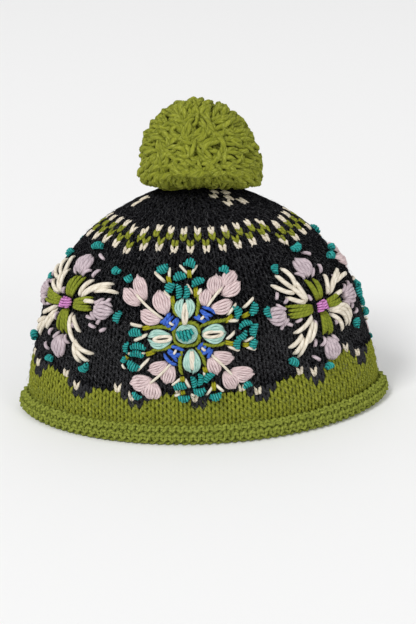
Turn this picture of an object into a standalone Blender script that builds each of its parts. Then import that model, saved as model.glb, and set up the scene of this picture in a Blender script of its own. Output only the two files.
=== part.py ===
"""Knitted bobble hat with embroidered flowers, as separate closed solids.

Run with: blender --background --python part.py
Metres, +Z up. The hat stands on its rolled rim at z = 0, with its front towards -Y.
"""

import math

import bmesh
import bpy
import numpy as np

# ---- the knit wall ----
# Half width and height of the outer face, from the rim up the side to the tip.
SIDE_PROFILE = (
    (0.1094, 0.0000),
    (0.1082, 0.0230),
    (0.1004, 0.0525),
    (0.0918, 0.0805),
    (0.0745, 0.1045),
    (0.0595, 0.1185),
    (0.0420, 0.1284),
    (0.0200, 0.1350),
    (0.0000, 0.1378),
)
DEPTH_SHARE = 0.57  # depth over width at the rim: the hat has been stored flat
RIM_POWER = 1.6  # superellipse power of the rim's outline, below 2 for its creased sides
ROUNDING_FROM = 0.55  # share of the side's length above which the section rounds off
WALL = 0.0040  # two-colour knit with its floats
GAP = 0.0004  # left between pieces that touch
FACETS = 84  # around the wall, six to a zigzag

# ---- rolled rim, hem and pattern band ----
ROLL_RADIUS = 0.0060
ROLL_CENTRE = 0.0054  # height, so that the roll rests on a flat strip
ROLL_FACETS = 72
ROLL_SIDES = 10
HEM_FOOT = 0.0118  # height of the hem's lower edge, just clear of the roll
ZIGZAGS = 14
ZIGZAG_START = -0.006  # share of a turn at which a valley lies
ZIGZAG_LOW = 0.115  # valleys and peaks, as shares of the side's length
ZIGZAG_HIGH = 0.160
BAND_LOW = 0.615
BAND_HIGH = 0.735

# ---- pompom ----
POMPOM_HALF = (0.0350, 0.0285)  # across, and front to back: pressed flat like the hat
POMPOM_WAIST = 0.1503  # height of its widest part
POMPOM_ABOVE = 0.0438  # from there to its top
POMPOM_BELOW = 0.0124  # and to its underside
POMPOM_FULLNESS = 2.6  # power of the underside's curve
POMPOM_ASIDE = 0.0042  # how far its waist has slipped to the right
POMPOM_LEAN = 0.0028  # how far its top leans back from there
POMPOM_DROOP = 0.0050  # how much lower its right side hangs
POMPOM_LUMP = 0.03

# ---- embroidery: centres as (share of a turn from the front, share up the side) ----
ROSES = {"front": (-0.019, 0.347), "back_left": (-0.357, 0.365), "back_right": (0.324, 0.365)}
LILIES = {"left": (-0.195, 0.405), "right": (0.1635, 0.378), "back": (0.484, 0.390)}
PAD_LIFT = 0.0008  # clear air between the knit and an embroidered solid
PAD_RISE = 0.0026
PAD_RINGS = 6
# Pads of a rose: sideways, upwards, half length, half width in metres, and direction in degrees.
ROSE_SPRAYS = (
    (-0.0225, 0.0200, 0.0155, 0.0085, 139),
    (0.0205, 0.0230, 0.0130, 0.0085, 50),
    (-0.0200, -0.0280, 0.0150, 0.0075, 222),
    (0.0255, -0.0240, 0.0160, 0.0080, 316),
)
ROSE_BUDS = (
    (-0.0030, 0.0325, 0.0080, 0.0110, 90),
    (-0.0305, -0.0090, 0.0070, 0.0115, 180),
    (0.0318, 0.0020, 0.0075, 0.0125, 0),
    (0.0050, -0.0325, 0.0080, 0.0105, 270),
)
LILY_LEAF_OUT = 0.0220  # from the lily's centre to a leaf's middle
LILY_LEAF_HALF = (0.0125, 0.0060)
LILY_TULIP_OUT = 0.0278
LILY_TULIP_HALF = (0.0072, 0.0068)

OLIVE = (0.22, 0.30, 0.045, 1)
BLACK = (0.012, 0.012, 0.013, 1)
CREAM = (0.74, 0.68, 0.56, 1)
LILAC = (0.52, 0.40, 0.45, 1)
TEAL = (0.02, 0.26, 0.24, 1)
AQUA = (0.33, 0.58, 0.52, 1)


# ---- the hat's surface ----
def smooth_curve(points, per_span=48):
    """Points along the Catmull-Rom curve through the given ones."""
    points = np.array(points)
    padded = np.vstack([2 * points[0] - points[1], points, 2 * points[-1] - points[-2]])
    t = np.linspace(0, 1, per_span, endpoint=False)[:, None]
    spans = []
    for a, b, c, d in zip(padded, padded[1:], padded[2:], padded[3:]):
        bend = (2 * a - 5 * b + 4 * c - d) * t**2 + (3 * b - a - 3 * c + d) * t**3
        spans.append(b + 0.5 * ((c - a) * t + bend))
    return np.vstack([*spans, points[-1:]])


CURVE = smooth_curve(SIDE_PROFILE)
CURVE_LENGTH = np.append(0, np.cumsum(np.linalg.norm(np.diff(CURVE, axis=0), axis=1)))
HALF_WIDTH, HEIGHT = SIDE_PROFILE[0][0], SIDE_PROFILE[-1][1]
TURN = np.linspace(-np.pi, np.pi, 1441)


def section(up):
    """The knit's outline at a share up the side: x and y at every TURN angle, and z."""
    along = up * CURVE_LENGTH[-1]
    half_width = np.interp(along, CURVE_LENGTH, CURVE[:, 0])
    rounding = np.clip((up - ROUNDING_FROM) / (1 - ROUNDING_FROM), 0, 1)
    share = DEPTH_SHARE + (1 - DEPTH_SHARE) * rounding**2
    power = RIM_POWER + (2 - RIM_POWER) * rounding
    x = half_width * np.sin(TURN)
    y = -half_width * share * np.sign(np.cos(TURN)) * np.abs(np.cos(TURN)) ** (2 / power)
    return x, y, np.interp(along, CURVE_LENGTH, CURVE[:, 1])


def knit_point(around, up, depth=0.0):
    """A point of the knit at a share of a turn and a share up the side, depth metres inwards."""
    x, y, z = section(min(up, 0.9999))
    course = np.append(0, np.cumsum(np.hypot(np.diff(x), np.diff(y))))
    place = ((around + 0.5) % 1) * course[-1]
    tip = 0.0 if up > 0.9999 else 1.0
    return np.array(
        [
            np.interp(place, course, x) * tip * (1 - depth / HALF_WIDTH),
            np.interp(place, course, y) * tip * (1 - depth / (HALF_WIDTH * DEPTH_SHARE)),
            z * (1 - depth / HEIGHT),
        ]
    )


def knit_frame(around, up):
    """The two tangents, for a whole turn and a whole side, and the outward normal."""
    step = 0.004
    across = (knit_point(around + step, up) - knit_point(around - step, up)) / (2 * step)
    rise = (knit_point(around, up + step) - knit_point(around, up - step)) / (2 * step)
    normal = np.cross(across, rise)
    return across, rise, normal / np.linalg.norm(normal)


def worked_point(centre, sideways, upwards, lift):
    """A point at distances in metres from an embroidery's centre, measured along the knit."""
    around, up = centre
    for _ in range(4):
        up += upwards / 4 / np.linalg.norm(knit_frame(around, up)[1])
    around += sideways / np.linalg.norm(knit_frame(around, up)[0])
    return knit_point(around, up) + lift * knit_frame(around, up)[2]


def share_at_height(height):
    """Share up the side at which the outer face reaches a height."""
    return float(np.interp(height, CURVE[:, 1], CURVE_LENGTH)) / CURVE_LENGTH[-1]


# ---- building ----
def clear_scene():
    for item in list(bpy.data.objects):
        bpy.data.objects.remove(item, do_unlink=True)


def hat_collection():
    collection = bpy.data.collections.new("bobble_hat")
    bpy.context.scene.collection.children.link(collection)
    return collection


def wool(name, colour):
    material = bpy.data.materials.new(name)
    material.use_nodes = True
    shader = material.node_tree.nodes["Principled BSDF"]
    shader.inputs["Base Color"].default_value = colour
    shader.inputs["Roughness"].default_value = 0.9
    shader.inputs["Metallic"].default_value = 0.0
    material.diffuse_color = colour
    return material


def add_solid(name, cage, material):
    """Weld a cage's seams, turn its faces outwards and add it to the hat."""
    bmesh.ops.remove_doubles(cage, verts=cage.verts, dist=0.00002)
    bmesh.ops.recalc_face_normals(cage, faces=cage.faces)
    mesh = bpy.data.meshes.new(name)
    cage.to_mesh(mesh)
    cage.free()
    mesh.materials.append(material)
    mesh.shade_smooth()
    solid = bpy.data.objects.new(name, mesh)
    bpy.data.collections["bobble_hat"].objects.link(solid)
    return solid


def wrapped_grid(columns, rows, place):
    """A grid with every corner moved by place(share across the columns, row number)."""
    cage = bmesh.new()
    bmesh.ops.create_grid(cage, x_segments=columns, y_segments=rows, size=0.5)
    for corner in cage.verts:
        corner.co = place(corner.co.x + 0.5, round((corner.co.y + 0.5) * rows))
    return cage


def zigzag(around):
    """Height of the line where the hem meets the crown, as a share of the side."""
    phase = ((around - ZIGZAG_START) * ZIGZAGS) % 1
    return ZIGZAG_HIGH - (ZIGZAG_HIGH - ZIGZAG_LOW) * abs(2 * phase - 1)


def add_wall(name, low, high, rows, facets, material):
    """A band of the wall between two edges, each a height as a function of the share around."""
    half_gap = GAP / 2 / CURVE_LENGTH[-1]

    def place(around, row):
        around += ZIGZAG_START - 0.5
        foot, top = low(around) + half_gap, high(around) - half_gap
        inside = rows < row <= 2 * rows + 1
        step = 2 * rows + 1 - row if inside else row % (2 * rows + 2)
        return knit_point(around, foot + (top - foot) * step / rows, WALL if inside else 0)

    return add_solid(name, wrapped_grid(facets, 2 * rows + 2, place), material)


def add_cap(name, low, rows, facets, material):
    """The wall's closed top above a height, open on its inside."""
    foot = low + GAP / 2 / CURVE_LENGTH[-1]

    def place(around, row):
        inside = row > rows
        step = row - rows - 1 if inside else rows - row
        return knit_point(around - 0.5, foot + (1 - foot) * step / rows, WALL if inside else 0)

    return add_solid(name, wrapped_grid(facets, 2 * rows + 1, place), material)


def add_roll(name, material):
    """The rolled edge: a tube that follows the rim, flat where it rests."""
    up = share_at_height(ROLL_CENTRE)

    def place(around, row):
        angle = row * 2 * math.pi / ROLL_SIDES
        across = knit_frame(around - 0.5, up)[0]
        outwards = np.array([across[1], -across[0], 0]) / math.hypot(across[0], across[1])
        point = knit_point(around - 0.5, up) + ROLL_RADIUS * math.cos(angle) * outwards
        point[2] = max(ROLL_CENTRE + ROLL_RADIUS * math.sin(angle), 0)
        return point

    return add_solid(name, wrapped_grid(ROLL_FACETS, ROLL_SIDES, place), material)


def add_pompom(name, material):
    """A lumpy dome of wool, flat below, that sits over the crown's tip."""
    ball = bmesh.new()
    bmesh.ops.create_icosphere(ball, subdivisions=4, radius=1)
    for corner in ball.verts:
        x, y, z = corner.co
        full = (1 - abs(z) ** POMPOM_FULLNESS) ** (1 / POMPOM_FULLNESS)
        spread = full / max(math.hypot(x, y), 1e-6) if z < 0 else 1
        lump = 1 + POMPOM_LUMP * math.sin(9 * x + 2) * math.sin(8 * y + 1) * math.sin(10 * z)
        aside = POMPOM_ASIDE - POMPOM_LEAN * max(z, 0)
        droop = POMPOM_DROOP * max(x, 0) ** 2 if z < 0 else 0
        corner.co.x = POMPOM_HALF[0] * x * spread * lump + aside
        corner.co.y = POMPOM_HALF[1] * y * spread * lump
        reach = POMPOM_ABOVE if z > 0 else POMPOM_BELOW
        corner.co.z = POMPOM_WAIST + reach * z * lump - droop
        tip = np.interp(-math.hypot(corner.co.x, corner.co.y), -CURVE[:, 0], CURVE[:, 1])
        corner.co.z = max(corner.co.z, tip + 2 * GAP)
    return add_solid(name, ball, material)


def add_pad(name, centre, pad, spokes, outline, material):
    """A domed pad of embroidery; outline gives its reach at an angle, as a share of the half sizes."""
    sideways, upwards, half_length, half_width, direction = pad
    cosine, sine = math.cos(math.radians(direction)), math.sin(math.radians(direction))
    cage = bmesh.new()
    bmesh.ops.create_uvsphere(cage, u_segments=spokes, v_segments=PAD_RINGS, radius=1)
    for corner in cage.verts:
        reach = outline(math.atan2(corner.co.y, corner.co.x))
        along = half_length * reach * corner.co.x
        aside = half_width * reach * corner.co.y
        x = sideways + along * cosine - aside * sine
        y = upwards + along * sine + aside * cosine
        corner.co = worked_point(centre, x, y, PAD_LIFT + PAD_RISE * max(corner.co.z, 0))
    return add_solid(name, cage, material)


def four_petals(angle):
    return 0.38 + 0.62 * abs(math.cos(2 * angle)) ** 2.5


def leafy(angle):
    return 0.88 + 0.12 * math.cos(6 * angle)


def round_edge(_angle):
    return 1.0


def add_rose(name, centre, wools):
    flower = (0, 0, 0.0215, 0.0215, 0)
    add_pad(f"{name}_flower", centre, flower, 32, four_petals, wools["aqua"])
    for number, pad in enumerate(ROSE_SPRAYS, 1):
        add_pad(f"{name}_spray_{number}", centre, pad, 18, leafy, wools["lilac"])
    for number, pad in enumerate(ROSE_BUDS, 1):
        add_pad(f"{name}_buds_{number}", centre, pad, 12, round_edge, wools["teal"])


def add_lily(name, centre, wools):
    flower = (0, 0, 0.0190, 0.0190, 0)
    add_pad(f"{name}_flower", centre, flower, 24, four_petals, wools["olive"])
    for number in range(4):
        leaf, tulip = math.radians(45 + 90 * number), math.radians(90 * number)
        leaf_pad = (
            LILY_LEAF_OUT * math.cos(leaf),
            LILY_LEAF_OUT * math.sin(leaf),
            *LILY_LEAF_HALF,
            45 + 90 * number,
        )
        tulip_pad = (
            LILY_TULIP_OUT * math.cos(tulip),
            LILY_TULIP_OUT * math.sin(tulip),
            *LILY_TULIP_HALF,
            90 * number,
        )
        add_pad(f"{name}_leaf_{number + 1}", centre, leaf_pad, 12, round_edge, wools["cream"])
        add_pad(f"{name}_tulip_{number + 1}", centre, tulip_pad, 12, round_edge, wools["lilac"])


def build_hat():
    clear_scene()
    hat_collection()
    wools = {
        "olive": wool("olive_wool", OLIVE),
        "black": wool("black_wool", BLACK),
        "cream": wool("cream_wool", CREAM),
        "lilac": wool("lilac_wool", LILAC),
        "teal": wool("teal_wool", TEAL),
        "aqua": wool("aqua_wool", AQUA),
    }
    foot = share_at_height(HEM_FOOT)
    add_roll("rolled_rim", wools["olive"])
    add_wall("hem_band", lambda _: foot, zigzag, 3, FACETS, wools["olive"])
    add_wall("crown_lower", zigzag, lambda _: BAND_LOW, 6, FACETS, wools["black"])
    add_wall("pattern_band", lambda _: BAND_LOW, lambda _: BAND_HIGH, 2, FACETS, wools["cream"])
    add_cap("crown_top", BAND_HIGH, 5, FACETS, wools["black"])
    add_pompom("pompom", wools["olive"])
    for place, centre in ROSES.items():
        add_rose(f"rose_{place}", centre, wools)
    for place, centre in LILIES.items():
        add_lily(f"lily_{place}", centre, wools)


build_hat()
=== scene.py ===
"""Knitted bobble hat with embroidered flowers: every stitch, strand and knot laid as yarn over the
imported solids. Metres, +Z up; the hat stands on its rolled rim at z = 0 with its front towards -Y."""

import math

import bpy
import numpy as np
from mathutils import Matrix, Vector


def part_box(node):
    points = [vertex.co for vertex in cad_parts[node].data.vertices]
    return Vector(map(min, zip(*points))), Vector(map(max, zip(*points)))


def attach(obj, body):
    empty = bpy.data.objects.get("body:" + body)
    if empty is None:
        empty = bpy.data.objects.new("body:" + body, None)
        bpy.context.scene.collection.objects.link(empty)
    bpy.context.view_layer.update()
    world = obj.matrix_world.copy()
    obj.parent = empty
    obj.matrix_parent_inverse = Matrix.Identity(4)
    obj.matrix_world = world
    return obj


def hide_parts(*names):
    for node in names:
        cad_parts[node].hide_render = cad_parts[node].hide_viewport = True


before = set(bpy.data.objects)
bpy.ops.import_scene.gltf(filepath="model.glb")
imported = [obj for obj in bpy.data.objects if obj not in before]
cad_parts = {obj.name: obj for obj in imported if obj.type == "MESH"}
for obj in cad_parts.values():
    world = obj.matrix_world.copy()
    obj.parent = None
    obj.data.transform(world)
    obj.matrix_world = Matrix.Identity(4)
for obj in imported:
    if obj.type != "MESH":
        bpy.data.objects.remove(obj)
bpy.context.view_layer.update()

MM = 0.001
rng = np.random.default_rng(7)


# --------------------------------------
# The hat's form. A tube of wool knitting closed at the top and stored flat, so that its section
# is a rounded lens at the rim and nearly round under the pompom. Everything is laid on this form.

SIDE_LINE = (  # half width and height in mm, from the rim up the side crease to the tip
    (109.4, 0.0), (108.2, 23.0), (100.4, 52.5), (91.8, 80.5), (74.5, 104.5),
    (59.5, 118.5), (42.0, 128.4), (20.0, 135.0), (0.0, 137.8),
)
HALF_WIDTH_AT_ROLL = 108.96  # mm, where the roll's middle line runs
DEPTH_SHARE = 0.57  # the lens's depth over its width
LENS_POWER = 1.6  # 2 is an ellipse, and less is a lens with sharper ends
ROUNDING_FROM = 0.55  # share of the side where the lens starts to turn round
GRID_AROUND, GRID_UP = 960, 320
SIDE_STEPS, RING_POINTS = 48, 1441

ROLL_TOP_TO_RADIUS = 1.851
ROLL_MIDDLE_TO_RADIUS = 0.9  # under 1, because the roll is flat where it rests
roll_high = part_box("rolled_rim")[1]
roll_radius = roll_high.z / ROLL_TOP_TO_RADIUS
roll_middle = ROLL_MIDDLE_TO_RADIUS * roll_radius
across_scale = (roll_high.x - roll_radius) / HALF_WIDTH_AT_ROLL
height_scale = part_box("crown_top")[1].z / SIDE_LINE[-1][1]


def smooth_line(points, per_span=16):
    """Points along the Catmull-Rom curve through the given ones."""
    points = np.array(points, float)
    padded = np.vstack([2 * points[0] - points[1], points, 2 * points[-1] - points[-2]])
    t = np.linspace(0, 1, per_span, endpoint=False)[:, None]
    spans = []
    for a, b, c, d in zip(padded, padded[1:], padded[2:], padded[3:]):
        bend = (2 * a - 5 * b + 4 * c - d) * t**2 + (3 * b - a - 3 * c + d) * t**3
        spans.append(b + 0.5 * ((c - a) * t + bend))
    return np.vstack([*spans, points[-1:]])


def lengths(points):
    """Distance along a line of points, from its first point."""
    return np.append(0, np.cumsum(np.linalg.norm(np.diff(points, axis=0), axis=1)))


def knit_grid():
    """Points of the knit's outer face, with rows up the side and columns along the yarn's course."""
    side = smooth_line(SIDE_LINE, SIDE_STEPS) * (across_scale, height_scale)
    along = lengths(side)
    turn = np.linspace(-np.pi, np.pi, RING_POINTS)
    grid = np.zeros((GRID_UP + 1, GRID_AROUND + 1, 3))
    course = np.zeros(GRID_UP + 1)
    for row, up in enumerate(np.linspace(0, 1, GRID_UP + 1)):
        half_width = np.interp(up * along[-1], along, side[:, 0])
        rounding = np.clip((up - ROUNDING_FROM) / (1 - ROUNDING_FROM), 0, 1)
        share = DEPTH_SHARE + (1 - DEPTH_SHARE) * rounding**2
        power = LENS_POWER + (2 - LENS_POWER) * rounding
        lens = np.sign(np.cos(turn)) * np.abs(np.cos(turn)) ** (2 / power)
        ring = np.stack([half_width * np.sin(turn), -half_width * share * lens], axis=1)
        walked = lengths(ring)
        course[row] = walked[-1]
        if walked[-1] > 0:
            steps = np.linspace(0, walked[-1], GRID_AROUND + 1)
            grid[row, :, 0] = np.interp(steps, walked, ring[:, 0])
            grid[row, :, 1] = np.interp(steps, walked, ring[:, 1])
        grid[row, :, 2] = np.interp(up * along[-1], along, side[:, 1])
    return grid, course


def grid_normals(grid):
    rise = np.gradient(grid, axis=0)
    wrapped = np.concatenate([grid[:, -2:-1], grid, grid[:, 1:2]], axis=1)
    normals = np.cross(wrapped[:, 2:] - wrapped[:, :-2], rise)
    normals[-1] = (0, 0, 1)
    return normals / np.maximum(np.linalg.norm(normals, axis=2, keepdims=True), 1e-15)


KNIT, COURSE = knit_grid()
NORMALS = grid_normals(KNIT)
UPS = np.linspace(0, 1, GRID_UP + 1)
FRONT_CLIMB = lengths(KNIT[:, GRID_AROUND // 2])


def read_grid(grid, around, up):
    columns = ((np.asarray(around) + 0.5) % 1) * GRID_AROUND
    rows = np.clip(np.asarray(up), 0, 1) * GRID_UP
    left = np.minimum(columns.astype(int), GRID_AROUND - 1)
    below = np.minimum(rows.astype(int), GRID_UP - 1)
    a, b = (columns - left)[..., None], (rows - below)[..., None]
    low = grid[below, left] * (1 - a) + grid[below, left + 1] * a
    high = grid[below + 1, left] * (1 - a) + grid[below + 1, left + 1] * a
    return low * (1 - b) + high * b


def on_knit(around, up, out=0.0):
    """Points and outward normals at shares of a turn and of the side, raised by out metres."""
    normal = read_grid(NORMALS, around, up)
    normal /= np.maximum(np.linalg.norm(normal, axis=-1, keepdims=True), 1e-12)
    return read_grid(KNIT, around, up) + normal * np.asarray(out)[..., None], normal


# --------------------------------------
# The wool. Every yarn is plied sheep's wool: two or more plies twisted together, with loose fibres
# that catch the light. A skein gathers the strands of one yarn into one mesh, and each strand
# carries a "yarn" map with millimetres along it and the share of a turn around it.


def unit(vectors):
    return vectors / np.maximum(np.linalg.norm(vectors, axis=-1, keepdims=True), 1e-12)


def rounded_ends(count, power=6, blunt=0.3):
    """Thickness of a strand along its length: full, and closing at both ends."""
    place = np.abs(np.linspace(-1, 1, count))
    return np.maximum(np.sqrt(1 - place**power), blunt)


def quads_between(rows, rings, sides):
    """The corners of the faces between rings of points. The first ring follows on the last."""
    row, column = np.arange(rows)[:, None], np.arange(sides)[None, :]
    after, beside = (row + 1) % rings * sides, (column + 1) % sides
    row = row * sides
    return np.stack([row + column, row + beside, after + beside, after + column], axis=-1).reshape(-1)


class Skein:
    """The strands of one yarn, laid one by one and joined into one mesh."""

    def __init__(self):
        self.points, self.corners, self.sizes, self.maps = [], [], [], []
        self.count = 0

    def lay(self, path, up, radius, sides=6, closed=False, flat=1.0):
        """A tube along path. up points away from the knit; flat is height over width."""
        size = len(path)
        radius = np.broadcast_to(radius, size)[:, None]
        if closed:
            tangent = unit(np.roll(path, -1, axis=0) - np.roll(path, 1, axis=0))
        else:
            tangent = unit(np.gradient(path, axis=0))
        side = unit(np.cross(up, tangent))
        top = np.cross(tangent, side)
        angle = np.arange(sides) * 2 * np.pi / sides - np.pi / 2
        ring = side[:, None] * np.cos(angle)[:, None] + flat * top[:, None] * np.sin(angle)[:, None]
        self.points.append((path[:, None] + ring * radius[:, None]).reshape(-1, 3))
        rows = size if closed else size - 1
        self.corners.append(quads_between(rows, size, sides) + self.count)
        self.sizes.append(np.full(rows * sides, 4))
        walked = lengths(np.vstack([path, path[:1]]) if closed else path) / MM
        walked = walked + rng.uniform(0, 900)
        share = np.arange(sides + 1) / sides
        here, there = walked[:rows, None], walked[1 : rows + 1, None]
        low, high = share[None, :-1], share[None, 1:]
        corners = [(here, low), (here, high), (there, high), (there, low)]
        shape = (rows, sides)
        flat_map = [[np.broadcast_to(u, shape), np.broadcast_to(v, shape)] for u, v in corners]
        self.maps.append(np.moveaxis(np.array(flat_map), (0, 1), (2, 3)).reshape(-1, 2))
        if not closed:
            for first, order, spot in ((0, -1, walked[0]), (size - 1, 1, walked[-1])):
                self.corners.append(np.arange(sides)[::order] + first * sides + self.count)
                self.sizes.append(np.array([sides]))
                self.maps.append(np.tile([spot, 0.5], (sides, 1)))
        self.count += size * sides

    def mesh(self, name):
        mesh = bpy.data.meshes.new(name)
        points, corners = np.concatenate(self.points), np.concatenate(self.corners)
        sizes = np.concatenate(self.sizes)
        mesh.vertices.add(len(points))
        mesh.vertices.foreach_set("co", points.ravel())
        mesh.loops.add(len(corners))
        mesh.loops.foreach_set("vertex_index", corners)
        mesh.polygons.add(len(sizes))
        mesh.polygons.foreach_set("loop_start", np.append(0, np.cumsum(sizes)[:-1]))
        yarn_map = mesh.uv_layers.new(name="yarn")
        yarn_map.data.foreach_set("uv", np.concatenate(self.maps).ravel())
        mesh.update(calc_edges=True)
        mesh.shade_smooth()
        return mesh

    def piece(self, name, wool, slot, replaced=()):
        """Make the joined strands a piece of the hat, standing for the solids in replaced."""
        piece = bpy.data.objects.new(name, self.mesh(name))
        piece.data.materials.append(wool)
        bpy.context.scene.collection.objects.link(piece)
        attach(piece, "root")
        if replaced:
            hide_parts(*replaced)


class Reading:
    """A number that varies over a surface: sums written on it become Math nodes."""

    def __init__(self, recipe, socket):
        self.recipe, self.socket = recipe, socket

    def math(self, operation, first, second):
        return self.recipe.node("ShaderNodeMath", {"operation": operation}, {0: first, 1: second})

    def __add__(self, other):
        return self.math("ADD", self, other)

    def __mul__(self, other):
        return self.math("MULTIPLY", self, other)

    def __sub__(self, other):
        return self.math("SUBTRACT", self, other)

    def __rsub__(self, other):
        return self.math("SUBTRACT", other, self)

    def __pow__(self, other):
        return self.math("POWER", self, other)

    __radd__, __rmul__ = __add__, __mul__


class Recipe:
    """A material's nodes."""

    def __init__(self, name):
        self.material = bpy.data.materials.new(name)
        self.material.use_nodes = True
        self.tree = self.material.node_tree
        self.shader = self.tree.nodes["Principled BSDF"]

    def node(self, kind, settings=None, inputs=None, output=0):
        """Add a node: its settings first, then its sockets' values or links."""
        node = self.tree.nodes.new(kind)
        for setting, value in (settings or {}).items():
            setattr(node, setting, value)
        for socket, value in (inputs or {}).items():
            self.feed(node.inputs[socket], value)
        return Reading(self, node.outputs[output])

    def feed(self, socket, value):
        if isinstance(value, Reading):
            self.tree.links.new(value.socket, socket)
        else:
            socket.default_value = value

    def curve(self, operation, value):
        return self.node("ShaderNodeMath", {"operation": operation}, {0: value})

    def clamp(self, value):
        return self.node("ShaderNodeClamp", None, {0: value})

    def noise(self, place, scale, detail):
        return self.node("ShaderNodeTexNoise", None, {"Vector": place, "Scale": scale, "Detail": detail})

    def blend(self, share, first, second):
        """A colour between two."""
        settings = {"data_type": "RGBA"}
        return self.node("ShaderNodeMix", settings, {0: share, 6: first, 7: second}, output=2)

    def shade(self, **values):
        for socket, value in values.items():
            self.feed(self.shader.inputs[socket.replace("_", " ")], value)
        return self.material


FIBRES_ALONG, FIBRES_ROUND = 0.35, 2.2  # how finely the fibres vary along a strand and round it
PATCHES_ALONG, PATCHES_ROUND = 0.05, 0.3
# how strongly the painted highlights on the fibres show
FIBRE_HIGHLIGHT_GAIN = 4.0
FLECK_SHARPNESS = 9.0
FLECK_GREY = (0.32, 0.32, 0.33, 1)
PLY_HEIGHT = 0.35 * MM


def spun_wool(
    name, deep, body, highlight, twist=4.0, plies=2, fleck=0.0, sheen=0.10, furrow=0.6, shine=0.15, shade=0.4
):
    """Plied wool: its deep colour is painted shade in the furrows between plies and, by shade, on the
    strand's sides; its light colour is painted highlight on the raised fibres. twist is in mm."""
    recipe = Recipe(name)
    place = recipe.node("ShaderNodeUVMap", {"uv_map": "yarn"})
    along = recipe.node("ShaderNodeSeparateXYZ", None, {0: place}, output=0)
    around = recipe.node("ShaderNodeSeparateXYZ", None, {0: place}, output=1)
    angle = (around + along * (1 / twist)) * (2 * math.pi)
    crest = recipe.curve("COSINE", angle * (plies / 2))
    crest = recipe.curve("ABSOLUTE", crest)
    ply = 1 - (1 - crest) ** 2.0
    east = recipe.curve("COSINE", angle)
    north = recipe.curve("SINE", angle)
    strand = recipe.node("ShaderNodeCombineXYZ", None, {
        0: along * FIBRES_ALONG, 1: east * FIBRES_ROUND, 2: north * FIBRES_ROUND,
    })
    fibres = recipe.noise(strand, 1.6, 3.0)
    patches = recipe.node("ShaderNodeCombineXYZ", None, {
        0: along * PATCHES_ALONG, 1: east * PATCHES_ROUND, 2: north * PATCHES_ROUND,
    })
    drift = recipe.noise(patches, 1.0, 1.0)
    # Painted shade: deep in the furrows between plies and body on their crests, with random patches of
    # lighter and darker tone from the fibres and drift.
    furrow_shade_and_tone = recipe.clamp(ply * 0.55 + fibres * 0.75 - 0.2 + (drift - 0.5) * 0.9)
    colour = recipe.blend(furrow_shade_and_tone, (*deep, 1), (*body, 1))
    # Painted highlight: the light colour laid on the brightest fibres, where light would catch them.
    fibre_highlight = (fibres - 0.52) * FIBRE_HIGHLIGHT_GAIN * (drift * 0.8 + 0.3)
    fibre_highlight = recipe.clamp(fibre_highlight)
    colour = recipe.blend(fibre_highlight, colour, (*highlight, 1))
    if fleck:
        dots = recipe.noise(strand, 5.0, 1.0)
        dots = recipe.clamp((dots - 0.64) * FLECK_SHARPNESS)
        colour = recipe.blend(dots * fleck, colour, FLECK_GREY)
    # Painted shade: the strand's sides darkened towards deep, by shade, so that the crest facing outwards
    # looks lit.
    outer = recipe.curve("COSINE", around * (2 * math.pi)) * -0.5 + 0.5
    side_shade = recipe.clamp((1 - outer) * shade)
    colour = recipe.blend(side_shade, colour, (*deep, 1))
    height = ply * furrow + fibres * 0.5
    relief = {"Strength": 0.7, "Distance": PLY_HEIGHT, "Height": height}
    bump = recipe.node("ShaderNodeBump", None, relief)
    return recipe.shade(
        Base_Color=colour, Roughness=0.92, Normal=bump,
        Sheen_Weight=sheen, Sheen_Roughness=0.55, Sheen_Tint=(*highlight, 1), Specular_IOR_Level=shine,
    )


OLIVE = spun_wool("olive_yarn", (0.070, 0.082, 0.005), (0.28, 0.30, 0.027), (0.50, 0.52, 0.10), shade=0.9)
BLACK = spun_wool(
    "black_yarn", (0.0003, 0.0003, 0.0005), (0.0030, 0.0030, 0.0040), (0.125, 0.125, 0.135),
    fleck=0.4, sheen=0.0, shine=0.0, shade=2.0,
)
# A greyer black for the lower crown, with brighter painted highlights on its fibres than the black above.
GREYER_BLACK = spun_wool(
    "greyer_black_yarn", (0.0005, 0.0005, 0.0007), (0.0140, 0.0140, 0.0155), (0.180, 0.180, 0.190),
    fleck=0.6, sheen=0.0, shine=0.0, shade=2.0,
)
CHARCOAL = spun_wool(
    "charcoal_yarn", (0.006, 0.006, 0.007), (0.030, 0.030, 0.033), (0.11, 0.11, 0.115),
    fleck=0.4, shine=0.03,
)
CREAM = spun_wool("cream_yarn", (0.46, 0.38, 0.27), (0.84, 0.76, 0.62), (0.95, 0.90, 0.80))


# --------------------------------------
# The knitting. Stocking stitch worked in the round from the rim to the tip in chunky wool, with
# the second colour carried behind. Each course is one strand that loops up and down, so that its
# legs stand forward as V shapes and its heads and feet lie behind. Courses lose stitches upwards.

YARN = 1.08 * MM  # radius
COURSE_STARTS = (0, 25, 29, 40)  # courses, and the climb of their lower edges
COURSE_CLIMBS = (9.05 * MM, 114.0 * MM, 128.6 * MM, 170.0 * MM)
POINTS = 10  # to a stitch
LEG_SWAY, LEG_RISE = 0.215, 0.78
LEG_FORWARD, FOOT_FORWARD, SINK_FEET = 0.55 * MM, 0.30 * MM, 0.9 * MM
FOOT_NARROWNESS = 10
UNEVEN_LEGS, UNEVEN_CLIMB = 0.045, 0.03
PURL_DEPTH = -1.3  # a purl course is seen from behind
TIP_PUFF, PUFF_FROM, PUFF_SPAN = 2.2 * MM, 0.76, 0.12
FOLD_CLIMB, FOLD_SPREAD = 121 * MM, 16 * MM
SAG_PLACES = (  # shares of a turn from the middle of the front
    -0.5, -0.3, -0.21, -0.165, -0.125, -0.09, -0.04, 0.05, 0.10, 0.135, 0.163, 0.21, 0.3, 0.5,
)
SAG_RISES = (0.0, 0.0, 3.2, 2.4, -2.6, 2.4, 0.0, 0.0, 1.4, 2.8, -4.2, -1.0, 0.0, 0.0)  # mm
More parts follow.
